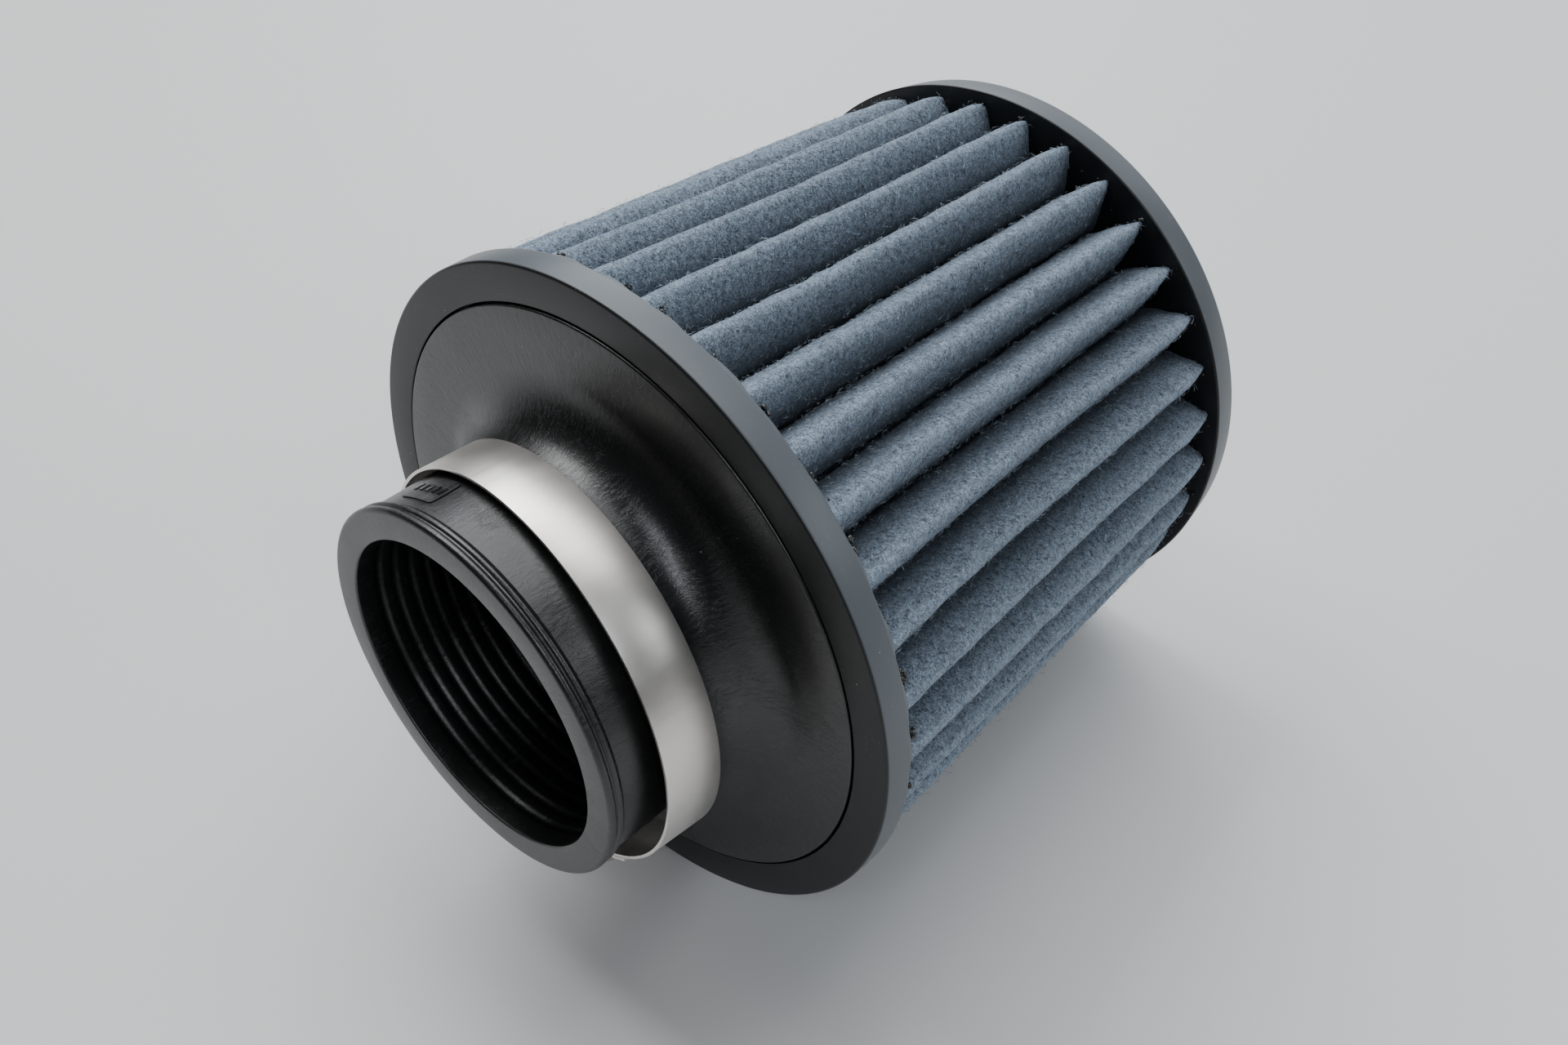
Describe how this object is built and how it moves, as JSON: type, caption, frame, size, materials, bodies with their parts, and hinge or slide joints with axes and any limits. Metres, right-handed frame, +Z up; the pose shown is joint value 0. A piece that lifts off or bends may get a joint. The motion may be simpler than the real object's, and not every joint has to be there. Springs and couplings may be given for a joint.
{
  "type": "clamp-on cone air filter",
  "caption": "Cone-shaped pleated air filter with a rubber neck, a cast end ring and cap, and a loose worm-drive clamp round the neck.",
  "frame": {"origin": "centre of the neck's mouth, in the plane of its front face", "axes": "+Y along the filter's axis from the mouth to the cap, +Z up as the filter lies on its side, +X to the right seen from the mouth"},
  "size_m": [0.15, 0.1715, 0.15],
  "materials": {
    "moulded_rubber": "satin black, finely scuffed",
    "cast_polyurethane": "satin black, cast",
    "felt": "matt blue-grey non-woven felt",
    "wire_screen": "woven wire",
    "strip_steel": "satin, fine lengthwise grain",
    "screw_steel": "satin"
  },
  "bodies": {
    "filter": {"neck": "moulded_rubber", "flange": "moulded_rubber", "base_ring": "cast_polyurethane", "filter_media": "felt", "inner_screen": "wire_screen", "seam_clip": "strip_steel", "top_cap": "cast_polyurethane"},
    "clamp": {"clamp_band": "strip_steel", "clamp_saddle": "strip_steel", "clamp_housing": "strip_steel"},
    "tail": {"clamp_tail": "strip_steel"},
    "screw": {"clamp_screw": "screw_steel"}
  },
  "joints": [
    {"name": "clamp_turn", "type": "hinge", "parent": "filter", "child": "clamp", "pos_m": [0, 0.0199, 0], "axis": [0, 1, 0], "continuous": true},
    {"name": "screw_turn", "type": "hinge", "parent": "clamp", "child": "screw", "pos_m": [0.0016, 0.0199, -0.05035], "axis": [-0.9979, 0.0645, 0], "range_deg": [-720, 1800]},
    {"name": "tail_feed", "type": "hinge", "parent": "clamp", "child": "tail", "pos_m": [0.0016, 0.0199, -0.0012], "axis": [-0.0645, -0.9979, 0], "range_deg": [-8.2, 20.4]}
  ],
  "couplings": [
    {"joint": "tail_feed", "follows": "screw_turn", "ratio": 0.011299}
  ]
}
